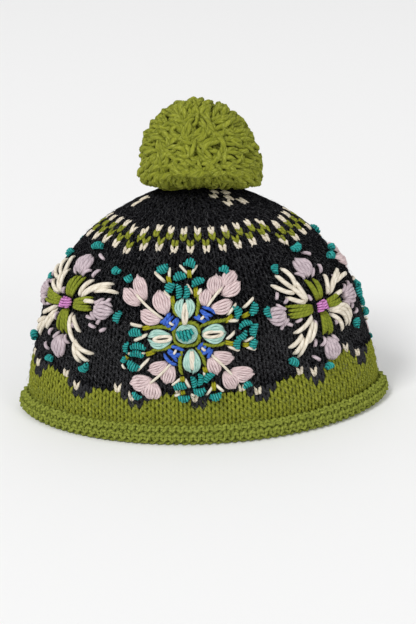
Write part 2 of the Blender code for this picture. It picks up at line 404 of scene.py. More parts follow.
LIFT_PLACES = (-0.5, -0.35, -0.25, -0.205, -0.16, -0.12, 0.04, 0.115, 0.175, 0.215, 0.25, 0.35, 0.5)
LIFT_RISES = (0.0, 0.0, 6.5, 7.5, 2.0, 0.0, 0.0, 4.5, 11.0, 7.0, 6.0, 0.0, 0.0)  # mm
LIFT_FADES = ((9, 26, 36, 85), (0, 1, 1, 0))  # climb in mm, and the share of the lift there
KNIT_DEPTH = 1.55 * MM  # of the yarn's middle under the outer face
ZIGZAG_START = -0.006
WOOLS = {"G": OLIVE, "K": BLACK, "W": GREYER_BLACK, "D": CHARCOAL, "C": CREAM}

COURSE_COUNTS = ((11, 112), (18, 98), (24, 84), (28, 70), (31, 56), (33, 36), (35, 24))  # last, stitches
TIP_COUNT = 12
LAST_GREYER, BAND_FIRST, BAND_LAST, LAST_COURSE = 14, 25, 28, 37
HEM_CHART = (  # one zigzag with its valley at both ends, from the lowest course up
    "GGGGGGGG", "GGGGGGGG", "GGGGGGGG", "DGGGGGGD", "DDGGGGDC", "KKKKKCDK",
)
BAND_CHART = ("KC", "KG", "GK", "CK")
TIP_STITCHES = {  # course and stitch
    (32, 4), (32, 6), (33, 5), (34, 2), (35, 3), (34, 4), (35, 5),
    (31, 43), (32, 27), (31, 24), (32, 17),
}


def stitches_in(course):
    """How many stitches a course has: fewer as the crown narrows."""
    for last, count in COURSE_COUNTS:
        if course <= last:
            return count
    return TIP_COUNT


def wool_at(course, stitch):
    if course < len(HEM_CHART):
        return HEM_CHART[course][stitch % len(HEM_CHART[0])]
    if course <= LAST_GREYER:
        return "W"
    if BAND_FIRST <= course <= BAND_LAST:
        return BAND_CHART[course - BAND_FIRST][stitch % 2]
    return "C" if (course, stitch) in TIP_STITCHES else "K"


def drift(count, size, waves=9):
    """A smooth closed line of small random numbers."""
    turn = np.linspace(0, 2 * np.pi, count, endpoint=False)
    total = np.zeros(count)
    for wave in range(1, waves):
        total += rng.normal() * np.cos(wave * turn + rng.uniform(0, 7)) / wave
    return total * size


def loops(count, purl=False):
    """One course of loops: shares along it, climb in courses and depth forward, by the point."""
    turn = np.arange(count * POINTS) / POINTS
    uneven = np.repeat(rng.normal(0, UNEVEN_LEGS, count), POINTS)
    sway = (LEG_SWAY + uneven) * np.sin(4 * np.pi * turn)
    climb = 0.5 - (LEG_RISE + uneven) * np.cos(2 * np.pi * turn) + drift(len(turn), UNEVEN_CLIMB)
    forward = FOOT_FORWARD * np.cos(2 * np.pi * turn) - LEG_FORWARD * np.cos(4 * np.pi * turn)
    forward = forward - SINK_FEET * (0.5 + 0.5 * np.cos(2 * np.pi * turn)) ** FOOT_NARROWNESS
    return (turn + sway) / count, climb, PURL_DEPTH * forward if purl else forward


def sag(around, climb):
    """How far the courses ride up or hang down: near the band, where the crown folds, and above
    the hem, which is stretched at the side creases."""
    share = (around + 0.5) % 1 - 0.5
    wave = np.interp(share, SAG_PLACES, SAG_RISES) * np.exp(-(((climb - FOLD_CLIMB) / FOLD_SPREAD) ** 2))
    lift = np.interp(share, LIFT_PLACES, LIFT_RISES) * np.interp(climb / MM, *LIFT_FADES)
    return (wave + lift) * MM


def course_line(course):
    """A course's path and normals, ten points to a stitch."""
    around, climb, forward = loops(stitches_in(course))
    climb = np.interp(course + climb, COURSE_STARTS, COURSE_CLIMBS)
    climb = climb + sag(around + ZIGZAG_START, climb)
    up = np.interp(climb, FRONT_CLIMB, UPS)
    return on_knit(around + ZIGZAG_START, up, forward - KNIT_DEPTH + puff(up))


def puff(up):
    """How far the knit is pushed out close to the tip, where the pompom's knot fills it."""
    return TIP_PUFF * np.clip((up - PUFF_FROM) / PUFF_SPAN, 0, 1)


def knit(first, last, colours):
    """Work courses first to last into one skein for each colour."""
    skeins = {colour: Skein() for colour in colours}
    for course in range(first, last + 1):
        path, normal = course_line(course)
        count = stitches_in(course)
        shades = [wool_at(course, stitch) for stitch in range(count)]
        starts = [s for s in range(count) if shades[s] != shades[s - 1]]
        if not starts:
            skeins[shades[0]].lay(path, normal, YARN, closed=True)
        for number, start in enumerate(starts):
            stop = starts[(number + 1) % len(starts)]
            stop += count if stop <= start else 0
            span = np.arange(start * POINTS, stop * POINTS + 1) % len(path)
            skeins[shades[start]].lay(path[span], normal[span], YARN)
    return skeins


def make_knit(name, first, last, colours, replaced):
    """Work the courses; the first colour's piece stands for the solids in replaced."""
    skeins = knit(first, last, colours)
    for colour in colours:
        skeins[colour].piece(f"{name}_{WOOLS[colour].name}", WOOLS[colour], SLOTS[colour], replaced)
        replaced = ()


SLOTS = {"G": "olive_wool", "D": "black_wool", "K": "black_wool", "W": "black_wool", "C": "cream_wool"}
make_knit("hem", 0, len(HEM_CHART) - 1, "GDKC", ("hem_band",))
make_knit("crown_lower", len(HEM_CHART), LAST_GREYER, "W", ("crown_lower",))
make_knit("crown_upper", LAST_GREYER + 1, BAND_FIRST - 1, "K", ())
make_knit("pattern_band", BAND_FIRST, BAND_LAST, "KGC", ("pattern_band",))
make_knit("crown_top", BAND_LAST + 1, LAST_COURSE, "KC", ("crown_top",))


# --------------------------------------
# The floats: the strands carried behind the knitting, matted into a closed layer that keeps the
# light out between the stitches. Olive behind the hem and black behind the crown.

FLOATS_OUTER, FLOATS_INNER = 1.8 * MM, 3.5 * MM  # under the knit's outer face
FLOAT_COLUMNS, FLOAT_ROWS = 336, 60  # round the hat, and up its whole side
FLOAT_SPREAD = (1.6, 0.3)  # mm of yarn to a column, and share of a turn to a row
HEM_TOP_COURSE = 3.2
FLOATS_START, FLOATS_GAP, FLOATS_END = 0.02, 0.002, 0.985


def add_floats(name, low, high, wool, slot):
    """A thin closed band behind the knit between two shares of the side."""
    rows = max(3, int((high - low) * FLOAT_ROWS))
    ups = np.concatenate([np.linspace(low, high, rows), np.linspace(high, low, rows)])
    depths = np.repeat([FLOATS_OUTER, FLOATS_INNER], rows)
    around = np.arange(FLOAT_COLUMNS) / FLOAT_COLUMNS
    skein, points = Skein(), []
    for up, deep in zip(ups, depths):
        climb = np.interp(up, UPS, FRONT_CLIMB)
        drawn = np.interp(climb + sag(around, climb), FRONT_CLIMB, UPS)
        points.append(on_knit(around, drawn, puff(up) - deep)[0])
    row, column = np.indices((len(points), FLOAT_COLUMNS))
    skein.points = [np.concatenate(points)]
    skein.corners = [quads_between(len(points), len(points), FLOAT_COLUMNS)]
    skein.sizes = [np.full(row.size, 4)]
    spread = np.stack([column * FLOAT_SPREAD[0], row * FLOAT_SPREAD[1]], axis=-1).reshape(-1, 1, 2)
    skein.maps = [np.repeat(spread, 4, axis=1).reshape(-1, 2).astype(float)]
    skein.piece(name, wool, slot)


HEM_TOP = np.interp(np.interp(HEM_TOP_COURSE, COURSE_STARTS, COURSE_CLIMBS), FRONT_CLIMB, UPS)
add_floats("floats_behind_hem", FLOATS_START, HEM_TOP, OLIVE, "olive_wool")
add_floats("floats_behind_crown", HEM_TOP + FLOATS_GAP, FLOATS_END, BLACK, "black_wool")


# --------------------------------------
# The rolled rim. The first courses curl outwards by themselves, so that the knit's purl side
# shows as rows of small loops round a soft tube, a little flat where it rests.

ROLL_COURSES = 6
ROLL_STITCHES = 112
ROLL_YARN_DEPTH = 1.35 * MM
ROLL_SWELL = 0.012
ROLL_CORE_INSET, ROLL_CORE_POINTS, ROLL_CORE_SIDES = 2.0 * MM, 224, 12
ROLL_CORE_LOWEST = 0.72  # of the roll's radius
ROLL_UP = float(np.interp(roll_middle, KNIT[:, GRID_AROUND // 2, 2], UPS))


def on_roll(around, angle, radius):
    """Points of the roll and the way out of it, at angles about its middle line."""
    middle, normal = on_knit(around, np.full(len(around), ROLL_UP))
    outwards = unit(normal * (1, 1, 0))
    way = outwards * np.cos(angle)[:, None] + np.array([0, 0, 1]) * np.sin(angle)[:, None]
    return middle + way * np.asarray(radius)[..., None], way


RIM_OLIVE = spun_wool("rim_yarn", (0.085, 0.105, 0.012), (0.29, 0.33, 0.045), (0.47, 0.51, 0.13))
roll = Skein()
for course in range(ROLL_COURSES):
    around, climb, forward = loops(ROLL_STITCHES, purl=True)
    angle = (course + climb) * 2 * np.pi / ROLL_COURSES
    swell = 1 + drift(len(around), ROLL_SWELL)
    path, way = on_roll(around, angle, (roll_radius - ROLL_YARN_DEPTH + forward) * swell)
    path[:, 2] = np.maximum(path[:, 2], YARN)
    roll.lay(path, way, YARN, closed=True)
core_turn = np.arange(ROLL_CORE_POINTS) / ROLL_CORE_POINTS
roll_core, core_way = on_roll(core_turn, np.zeros(ROLL_CORE_POINTS), 0.0)
roll_core[:, 2] = np.maximum(roll_core[:, 2], roll_radius * ROLL_CORE_LOWEST)
roll.lay(roll_core, core_way, roll_radius - ROLL_CORE_INSET, sides=ROLL_CORE_SIDES, closed=True)
roll.piece("rolled_rim_purl", RIM_OLIVE, "olive_wool", ("rolled_rim",))


# --------------------------------------
# The pompom. Lengths of soft, thick, barely twisted wool tied at the middle, which spread over
# one another from a whorl at the front and show blunt ends all round. A core fills its inside.

POMPOM_STRANDS = 1180
POMPOM_ASIDE, POMPOM_LEAN = 4.2 * MM, 2.8 * MM
POMPOM_FULLNESS = 2.2  # 2 is an ellipse below the waist, and more is squarer
POMPOM_WAIST_BELOW_TOP = 2.2 * MM
POMPOM_DROOPS = 3.6 * MM, 5.0 * MM, 11.0 * MM  # both sides, the right side, and the front drawn up
STRAND_RADII = 1.2, 1.85
CORE_RINGS, CORE_POINTS, CORE_SHARE, CORE_RADIUS = 14, 24, 0.80, 3.2 * MM
WHORL = unit(np.array([-0.16, -0.86, 0.42]))

pompom_low, pompom_high = (np.array(corner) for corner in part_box("pompom"))
pompom_half = (pompom_high - pompom_low) / 2
pompom_below, pompom_above = 15.4 * MM, 38.4 * MM
pompom_waist = pompom_high[2] - pompom_above - POMPOM_WAIST_BELOW_TOP


def on_pompom(way, share=1.0):
    """Points of the pompom's outer form in the given directions from its middle."""
    x, y, z = way.T
    full = (1 - np.abs(z) ** POMPOM_FULLNESS) ** (1 / POMPOM_FULLNESS)
    spread = np.where(z < 0, full / np.maximum(np.hypot(x, y), 1e-6), 1.0)
    height = np.where(z < 0, pompom_below, pompom_above)
    form = np.stack([pompom_half[0] * x * spread, pompom_half[1] * y * spread, height * z], axis=1)
    lean = POMPOM_ASIDE - POMPOM_LEAN * np.maximum(z, 0)
    sides, right, front = POMPOM_DROOPS
    droop = sides * x**2 + right * np.maximum(x, 0) ** 2 - front * (1 - x**2) * np.maximum(-y, 0)
    droop = np.where(z < 0, droop * np.minimum(-z * 2.5, 1), 0)
    return form * share + np.stack([lean, 0 * z, pompom_waist - droop], axis=1)


def ways_round(count):
    """Directions spread evenly over a ball, with some disorder."""
    number = np.arange(count) + 0.5
    height = 1 - 2 * number / count
    turn = number * math.pi * (1 + math.sqrt(5))
    flat = np.sqrt(1 - height**2)
    ways = np.stack([flat * np.cos(turn), flat * np.sin(turn), height], axis=1)
    return unit(ways + rng.normal(0, 0.05, ways.shape))


def add_pompom_strand(skein, way):
    """One strand that lies away from the whorl, its near end tucked under its neighbours."""
    nearness = max(0.0, float(way @ WHORL))
    loose = nearness**6
    course = way - WHORL * 1.02 + rng.normal(0, 0.16 + 0.9 * loose, 3)
    course[2] -= 1.8 * max(0.0, 0.2 - way[2])
    course = unit(course - way * (course @ way))
    aside = np.cross(way, course)
    half_length = rng.uniform(0.12, 0.20) * (1 + 0.5 * loose)
    bend = rng.normal(0, 0.05 + 0.16 * loose)
    t = np.linspace(-1, 1, 8)[:, None]
    ways = unit(way + course * t * half_length + aside * bend * (t**2 - 0.4))
    depth = rng.uniform(-0.055, 0.025 + 0.06 * (way[2] < -0.1))
    depth = depth - 0.13 * np.clip(-t[:, 0] - 0.1, 0, 1) ** 1.5
    depth += 0.035 * np.clip(t[:, 0] - 0.2, 0, 1)
    path = np.stack([on_pompom(each[None], 0.965 + sink)[0] for each, sink in zip(ways, depth)])
    radius = rng.uniform(*STRAND_RADII) * MM * rounded_ends(8, 8, 0.45)
    skein.lay(path, unit(ways), radius, sides=6)


POMPOM_WOOL = spun_wool(
    "pompom_yarn", (0.085, 0.100, 0.005), (0.27, 0.29, 0.026), (0.52, 0.55, 0.14), twist=14.0, furrow=0.25
)
pompom = Skein()
for way in ways_round(POMPOM_STRANDS):
    add_pompom_strand(pompom, way)
pompom.piece("pompom_strands", POMPOM_WOOL, "olive_wool", ("pompom",))

core = Skein()
turn = np.arange(CORE_POINTS) * 2 * np.pi / CORE_POINTS
for height in np.linspace(-0.98, 0.98, CORE_RINGS):
    flat = math.sqrt(1 - height**2)
    ring = np.stack([flat * np.cos(turn), flat * np.sin(turn), np.full(CORE_POINTS, height)], axis=1)
    core.lay(on_pompom(ring, CORE_SHARE), ring, CORE_RADIUS, sides=6, closed=True)
core.piece("pompom_core", POMPOM_WOOL, "olive_wool")


# --------------------------------------
# The embroidery's wools and stitches. The wools are a little finer than the knitting wool, in
# nine dyed colours. Every stitch, leaf, stem and bullion knot is made of its own strands, which
# lie on the knit and sink into it at both ends.

IVORY = spun_wool(
    "ivory_yarn", (0.50, 0.43, 0.32), (0.86, 0.79, 0.67), (0.96, 0.92, 0.84), twist=11.0, furrow=0.18,
)
LILAC = spun_wool(
    "lilac_yarn", (0.42, 0.31, 0.32), (0.76, 0.60, 0.595), (0.92, 0.82, 0.80), twist=9.0, furrow=0.35,
)
LAVENDER = spun_wool(
    "lavender_yarn", (0.30, 0.24, 0.27), (0.62, 0.51, 0.545), (0.80, 0.71, 0.74), twist=9.0, furrow=0.35,
)
TEAL = spun_wool(
    "teal_yarn", (0.002, 0.07, 0.075), (0.018, 0.37, 0.34), (0.20, 0.78, 0.72), twist=5.0, furrow=0.3,
)
AQUA = spun_wool(
    "aqua_yarn", (0.22, 0.42, 0.36), (0.46, 0.68, 0.60), (0.74, 0.86, 0.80), twist=9.0, furrow=0.35,
)
BLUE = spun_wool(
    "blue_yarn", (0.010, 0.035, 0.24), (0.055, 0.155, 0.63), (0.18, 0.33, 0.86), twist=5.0,
)
LIME = spun_wool(
    "lime_yarn", (0.14, 0.13, 0.004), (0.37, 0.35, 0.012), (0.58, 0.55, 0.08), twist=5.0,
)
PINK = spun_wool(
    "pink_yarn", (0.42, 0.13, 0.36), (0.68, 0.27, 0.60), (0.88, 0.50, 0.80), twist=6.0,
)
MOSS = spun_wool(
    "moss_yarn", (0.085, 0.11, 0.008), (0.25, 0.29, 0.025), (0.42, 0.46, 0.08), twist=5.0,
)

STITCH_SUNK, STITCH_RIDE = 0.8, 0.42  # mm into the knit at the ends; share of its width above
LEAF_SUNK, LEAF_RISE, LEAF_RIDE = 0.7, 0.9, 0.4
COIL_PITCH = 1.13  # of the wool's width
KNOT_BEND = 0.10, 0.24  # of the knot's length
KNOT_HEIGHT = 0.40  # of its thickness


def direction(degrees):
    return np.array([math.cos(math.radians(degrees)), math.sin(math.radians(degrees))])


def left_of(way):
    return np.array([-way[1], way[0]])


def four(node):
    """The nodes of a pad that is there once in each quarter of a medallion."""
    return tuple(f"{node}_{number}" for number in range(1, 5))


class Ground:
    """The knit round a medallion: places points given in mm sideways and upwards of its middle."""

    def __init__(self, around, up):
        self.around = around
        self.climb = lengths(read_grid(KNIT, np.full(GRID_UP + 1, around), UPS))
        self.level = np.interp(up, UPS, self.climb)

    def place(self, points, lift):
        points = np.asarray(points, float) * MM
        up = np.interp(self.level + points[:, 1], self.climb, UPS)
        around = self.around + points[:, 0] / np.interp(up, UPS, COURSE)
        return on_knit(around, up, np.asarray(lift, float) * MM)


def across(start, end):
    """The unit direction to the left of a line."""
    return unit(np.array([start[1] - end[1], end[0] - start[0]], float))


def stitch(skein, ground, start, end, width, bow=0.0, height=0.5, points=7, sides=6, flat=0.85):
    """A straight stitch: one strand over the knit, sunk at both ends. bow bends it sideways."""
    start, end = np.array(start, float), np.array(end, float)
    t = np.linspace(0, 1, points)[:, None]
    arch = np.sin(np.pi * t)
    line = start * (1 - t) + end * t + across(start, end) * bow * arch
    lift = -STITCH_SUNK + (STITCH_SUNK + width * STITCH_RIDE + height) * arch[:, 0] ** 0.45
    path, normal = ground.place(line, lift)
    skein.lay(path, normal, width / 2 * MM * rounded_ends(points, 6, 0.5), sides, flat=flat)


def leaf(skein, ground, base, tip, half, strands=6, curve=0.0, width=1.45, height=1.1, shares=None):
    """Satin stitch in a leaf: strands that part from the base and meet again near the tip."""
    base, tip = np.array(base, float), np.array(tip, float)
    t = np.linspace(0, 1, 9)[:, None]
    side = across(base, tip)
    if shares is None:
        shares = np.linspace(-1, 1, strands)
        width = max(width, 2.45 * half / strands)
    shares = np.array(shares)
    for share in shares * (1 + rng.normal(0, 0.03, len(shares))):
        near = 0.03 + 0.05 * abs(share) + rng.uniform(-0.02, 0.02)
        far = 1 - 0.10 * share**2 - rng.uniform(-0.02, 0.07)
        s = near + (far - near) * t
        fan = np.sin(np.pi * np.clip(s, 0, 1) ** 1.2) ** 0.9 * (half - width / 2) * share
        fan = fan + 0.22 * width * share
        line = base * (1 - s) + tip * s + side * (fan + curve * np.sin(np.pi * s))
        dome = height * math.sqrt(max(0, 1 - 0.8 * share**2)) + rng.uniform(-0.35, 0.25)
        lift = -LEAF_SUNK + (LEAF_RISE + width * LEAF_RIDE + dome) * np.sin(np.pi * t[:, 0]) ** 0.5
        path, normal = ground.place(line, lift)
        skein.lay(path, normal, width / 2 * MM * rounded_ends(9, 6, 0.5), sides=5)


def knot(skein, ground, middle, length, thick, heading=0.0, wool=1.4):
    """A bullion knot: yarn wound closely round itself, lying along heading degrees."""
    turns = max(2.5, length / (wool * COIL_PITCH))
    angle = np.linspace(0, turns * 2 * np.pi, int(turns * 8) + 1) + rng.uniform(0, 6)
    along = np.linspace(-0.5, 0.5, len(angle))
    barrel = (thick - wool) / 2 * np.sqrt(1 - (along * 1.86) ** 2)
    course = along * (length - wool * 0.6)
    way = direction(heading)
    aside = left_of(way)
    bend = rng.choice((-1, 1)) * rng.uniform(*KNOT_BEND) * length
    line = np.array(middle) + course[:, None] * way + (bend * (4 * along**2 - 0.5))[:, None] * aside
    height = thick * KNOT_HEIGHT
    axis, normal = ground.place(line, np.full(len(angle), height))
    coil = line + aside * (barrel * np.cos(angle))[:, None]
    path, _ = ground.place(coil, height + barrel * np.sin(angle))
    skein.lay(path, path - axis + normal * 1e-7, wool / 2 * MM, sides=5)


def stem(skein, ground, points, width=1.5, step=2.3, reach=5.0, slant=0.55, height=0.5):
    """Stem stitch: short stitches, each half over the last, that lie along a line like a rope."""
    line = smooth_line(points, 10)
    walked = lengths(line)
    for start in np.arange(0, max(walked[-1] - reach * 0.55, 0.1), step):
        ends = [np.array([np.interp(spot, walked, line[:, axis]) for axis in (0, 1)])
                for spot in (start, min(start + reach, walked[-1]))]
        side = across(*ends) * slant
        stitch(skein, ground, ends[0] - side, ends[1] + side, width, height=height, points=6, sides=5)


def petal_ring(skein, ground, inner, outer, half, shares=(0.36, 0.66, 0.95), width=1.95):
    """Strands laid in pairs round an open middle, like several looped stitches inside each other."""
    both = [side * share for share in shares for side in (-1, 1)]
    leaf(skein, ground, inner, outer, half, curve=0, width=width, height=0.9, shares=both)


def slit_loop(skein, ground, inner, outer, width):
    """One fat looped stitch with a narrow slit along its middle."""
    inner, outer = np.array(inner, float), np.array(outer, float)
    turn = np.linspace(0, 2 * np.pi, 21)[:, None]
    half = (outer - inner) / 2
    side = across(inner, outer) * max(width / 2 - 1.0, 0.5)
    line = (inner + outer) / 2 - half * 0.92 * np.cos(turn) + side * np.sin(turn)
    path, normal = ground.place(line, np.full(21, 1.9) + 0.25 * np.sin(turn[:, 0] * 1.5))
    skein.lay(path, normal, 1.05 * MM, sides=6)


# --------------------------------------
# The roses: one in the middle of the front and two behind. Four pale aqua petals round a teal
# knot, ringed and joined by olive stem stitch; lilac leaf sprays on cream ribs in the corners;
# and at the four sides teal bullion knots held by cream and lime stitches.

ROSE_PETALS = (  # inner end, outer end, half width; then its cream loop's ends and width
    ((-0.4, 6.8), (-0.4, 21.4), 5.9, (-0.4, 5.0), (0.2, 17.4), 4.2),
    ((-7.0, -3.2), (-23.2, -4.0), 5.9, (-7.8, -2.6), (-18.9, -4.0), 5.0),
    ((8.6, -0.9), (23.8, -1.4), 5.9, (10.0, -1.3), (21.6, -1.0), 5.2),
    ((3.0, -9.0), (3.4, -25.4), 5.1, (3.4, -10.6), (3.7, -21.7), 3.3),
)
ROSE_STEMS = (
    ((-4.7, 9.1), (-7.0, 15.0), (-7.9, 21.5)),
    ((5.9, 8.5), (7.6, 16.0), (7.0, 25.0)),
    ((-6.0, 1.5), (-12.0, 3.6), (-21.5, 3.0)),
    ((-6.5, -7.0), (-12.5, -9.6), (-20.5, -10.5)),
    ((7.5, 3.5), (14.0, 5.6), (24.0, 6.5)),
    ((8.0, -6.0), (14.0, -8.2), (23.0, -7.4)),
    ((-1.8, -9.5), (-3.8, -16.0), (-2.9, -25.3)),
    ((6.0, -8.4), (9.6, -14.0), (10.9, -20.3)),
)
ROSE_BLUES = ((-9.4, 6.8, 9, 7), (10.9, 9.9, 9, 8), (-7.2, -12.6, 10, 8), (11.4, -10.9, 6, 7.5))
ROSE_SPRAYS = (  # rib ends, then leaves: base, tip, half width, curve, strands
    ((-12.0, 7.6), (-30.7, 23.5), (
        ((-26.6, 15.2), (-37.2, 25.0), 4.2, 0.6, 6), ((-23.4, 18.0), (-29.1, 33.2), 4.0, 0.0, 6),
        ((-11.4, 9.6), (-15.7, 25.2), 5.2, 0.0, 7), ((-13.2, 7.4), (-27.2, 12.0), 4.2, 1.0, 5))),
    ((11.5, 13.2), (22.1, 26.6), (
        ((16.6, 19.8), (17.6, 33.5), 4.8, 0.0, 7), ((21.6, 25.6), (29.0, 34.4), 4.2, 0.6, 5),
        ((20.5, 21.0), (32.0, 27.8), 4.0, -0.8, 5), ((11.0, 14.5), (12.6, 25.4), 3.6, 0.5, 5),
        ((13.4, 13.6), (28.0, 16.8), 4.0, -1.4, 5))),
    ((-7.9, -17.1), (-22.9, -31.5), (
        ((-10.2, -17.6), (-23.0, -23.2), 3.9, 0.8, 6), ((-8.3, -18.4), (-12.6, -31.4), 4.2, 0.0, 6),
        ((-20.0, -28.4), (-34.0, -31.2), 5.0, 0.6, 6), ((-19.6, -29.0), (-21.6, -40.6), 5.8, 0.0, 7))),
    ((13.4, -12.4), (27.8, -28.0), (
        ((14.8, -12.6), (28.4, -17.0), 4.0, -1.2, 6), ((13.8, -14.0), (18.2, -26.4), 3.8, 0.0, 5),
        ((25.4, -23.4), (40.0, -27.6), 4.8, -1.0, 7), ((21.8, -24.0), (28.4, -35.6), 4.6, 0.5, 7))),
)
ROSE_KNOTS = (  # place, length, thickness, heading: north, west, east, south, corners
    ((-3.6, 32.4), 7.6, 5.6, 15), ((-8.8, 26.2), 6.6, 6.0, 60), ((-3.9, 24.2), 8.6, 4.4, 95),
    ((0.6, 23.4), 8.0, 4.2, 85), ((6.9, 29.2), 8.0, 5.2, 20), ((-13.5, 37.0), 7.6, 5.8, 25),
    ((2.2, 40.0), 7.2, 5.8, -20),
    ((-29.4, -0.4), 8.0, 5.6, 5), ((-28.2, -8.8), 9.6, 4.6, 0), ((-29.0, -13.4), 9.0, 4.6, -5),
    ((-35.4, -9.8), 7.2, 3.6, 80), ((-31.0, -20.2), 7.8, 6.0, -30), ((-37.0, -17.0), 4.4, 3.8, 60),
    ((29.6, 10.6), 7.8, 5.0, 100), ((39.4, 11.2), 7.6, 5.4, 70), ((34.6, 2.8), 8.6, 4.2, 15),
    ((39.6, -1.0), 8.2, 5.2, 75), ((32.6, -3.6), 7.6, 4.4, 35), ((30.0, -8.0), 7.2, 4.6, 80),
    ((39.4, -9.2), 6.2, 5.0, 70),
    ((-3.8, -31.8), 7.8, 5.2, 10), ((-1.6, -39.0), 7.2, 4.6, 0), ((4.2, -29.4), 7.4, 4.0, 100),
    ((7.8, -28.2), 7.6, 4.2, 80), ((7.6, -34.8), 7.4, 5.4, 5), ((12.8, -26.8), 7.4, 4.8, 45),
    ((16.8, -38.4), 7.2, 5.2, 10),
    ((-33.8, 30.4), 5.6, 4.8, 30), ((21.8, 35.2), 6.6, 4.8, -25), ((-29.6, -38.2), 6.2, 4.2, -35),
    ((35.4, -33.4), 5.8, 4.2, 20),
)
ROSE_TICKS = (  # cream stitches beside the knots: ends and width
    ((-18.6, 35.4), (-11.8, 29.2), 2.3), ((-9.6, 38.0), (-9.4, 31.6), 2.0),
    ((-4.0, 39.6), (1.4, 33.6), 1.8), ((6.4, 39.4), (2.8, 33.4), 1.8),
    ((0.6, 28.4), (4.2, 22.4), 1.8), ((9.0, 25.4), (6.8, 21.4), 2.2),
    ((-12.6, 24.6), (-8.0, 19.6), 1.8),
    ((-33.0, 4.6), (-25.2, 3.4), 2.2), ((-31.0, -5.6), (-22.6, -1.2), 2.4),
    ((-21.6, -15.4), (-29.4, -23.8), 2.0), ((-36.0, -13.6), (-23.4, -12.6), 1.8),
    ((-38.4, -20.0), (-36.6, -22.8), 1.6), ((29.6, 15.6), (24.0, 8.8), 1.9),
    ((23.6, 6.2), (31.0, 5.6), 2.3), ((40.0, 17.8), (33.4, 12.2), 2.1),
    ((28.6, -0.8), (23.4, -5.2), 2.0), ((40.6, -4.8), (33.6, -7.4), 1.9),
    ((24.2, -9.2), (31.4, -12.6), 1.9), ((34.6, -10.4), (41.2, -13.0), 2.0),
    ((-8.8, -31.6), (-3.0, -27.0), 2.0), ((-0.8, -27.6), (2.0, -33.0), 2.0),
    ((-7.2, -37.6), (-3.6, -36.4), 1.7), ((2.6, -36.8), (5.0, -37.6), 1.6),
    ((15.8, -31.6), (11.2, -37.8), 1.8), ((17.0, -31.6), (21.6, -36.2), 2.0),
    ((10.2, -23.6), (10.6, -26.2), 1.6),
)
ROSE_LIMES = (  # lime stitches that carry the buds
    ((-10.6, 33.6), (-8.8, 27.8)), ((1.8, 36.6), (2.2, 31.6)), ((5.8, 26.8), (6.2, 20.0)),
    ((-7.8, 21.6), (-7.0, 16.4)), ((-25.8, 2.0), (-19.8, 3.6)), ((-36.6, -15.6), (-34.8, -16.8)),
    ((-24.0, -13.4), (-18.4, -11.4)), ((22.6, 5.2), (27.6, 9.0)), ((32.6, 7.4), (37.6, 9.2)),
    ((22.4, -6.6), (29.0, -8.4)), ((33.0, -9.2), (37.4, -9.6)), ((-2.6, -26.2), (-2.0, -29.4)),
    ((-2.6, -34.4), (-1.8, -37.0)), ((15.6, -30.0), (15.8, -35.6)), ((10.4, -20.6), (11.6, -24.4)),
)


ROSE_RINGS = ((5.3, 0.6), (4.3, 1.0), (3.3, 1.2))  # radius, and height over the knit
ROSE_HEART = (0.0, -0.4), 9.8, 7.2, 8
CORNER_STITCHES = 5


def add_rose(side, around, up):
    ground = Ground(around, up)
    name = f"rose_{side}"
    petals, ribs, stems, blues = (Skein() for _ in range(4))
    for inner, outer, half, low, high, width in ROSE_PETALS:
        petal_ring(petals, ground, inner, outer, half)
        slit_loop(ribs, ground, low, high, width)
    for radius, lift in ROSE_RINGS:
        turn = np.linspace(0, 2 * np.pi, 25)[:-1]
        ring = np.stack([1.12 * radius * np.cos(turn) + 0.6, radius * np.sin(turn) - 0.6], axis=1)
        path, normal = ground.place(ring, np.full(24, lift))
        petals.lay(path, normal, 0.8 * MM, closed=True)
    turn = np.linspace(0, 2 * np.pi, 17)
    loose = 7.5 - 0.9 * np.cos(4 * turn)
    ring = np.stack([loose * 1.08 * np.cos(turn) + 0.6, loose * np.sin(turn) - 0.8], axis=1)
    stem(stems, ground, ring, width=1.9)
    for points in ROSE_STEMS:
        stem(stems, ground, points, width=1.8, slant=0.75)
    for x, y, wide, high in ROSE_BLUES:
        place = np.array([x, y], float)
        inwards = -unit(place)
        aside = left_of(inwards)
        for share in np.linspace(-0.5, 0.5, CORNER_STITCHES):
            middle = place + inwards * share * high * 0.95
            lean = inwards * rng.uniform(-1.6, 1.6)
            reach = aside * wide * (0.40 + 0.14 * rng.random())
            start, end = middle - reach - lean, middle + reach + lean
            stitch(blues, ground, start, end, 2.1, bow=rng.uniform(-1.2, 1.2), height=1.0)
        stitch(ribs, ground, place, place + inwards * 3.4, 1.6, height=2.3)
    petals.piece(f"{name}_petals", AQUA, "aqua_wool", (f"{name}_flower",))
    blues.piece(f"{name}_corner_stitches", BLUE, "teal_wool")
    stems.piece(f"{name}_stems", MOSS, "olive_wool")

    leaves = Skein()
    for rib_foot, rib_tip, leaf_list in ROSE_SPRAYS:
        for base, tip, half, curve, strands in leaf_list:
            leaf(leaves, ground, base, tip, half, strands, curve)
        stitch(ribs, ground, rib_foot, rib_tip, 1.7, bow=0.5, height=1.9, points=12)
    leaves.piece(f"{name}_sprays", LILAC, "lilac_wool", four(f"{name}_spray"))

    knots, limes = Skein(), Skein()
    for middle, length, thick, heading in ROSE_KNOTS:
        knot(knots, ground, middle, length, thick, heading)
    knot(knots, ground, *ROSE_HEART, wool=1.9)
    for start, end, width in ROSE_TICKS:
        stitch(ribs, ground, start, end, width, height=0.7)
    for start, end in ROSE_LIMES:
        gap = across(start, end) * 0.65
        stitch(limes, ground, start - gap, end - gap, 1.5, height=0.8)
        stitch(limes, ground, start + gap, end + gap, 1.5, height=0.8)
    knots.piece(f"{name}_knots", TEAL, "teal_wool", four(f"{name}_buds"))
    limes.piece(f"{name}_bud_stalks", LIME, "olive_wool")
    ribs.piece(f"{name}_ribs_and_loops", IVORY, "cream_wool")


add_rose("front", -0.019, 0.347)
add_rose("back_left", -0.357, 0.365)
add_rose("back_right", 0.324, 0.365)


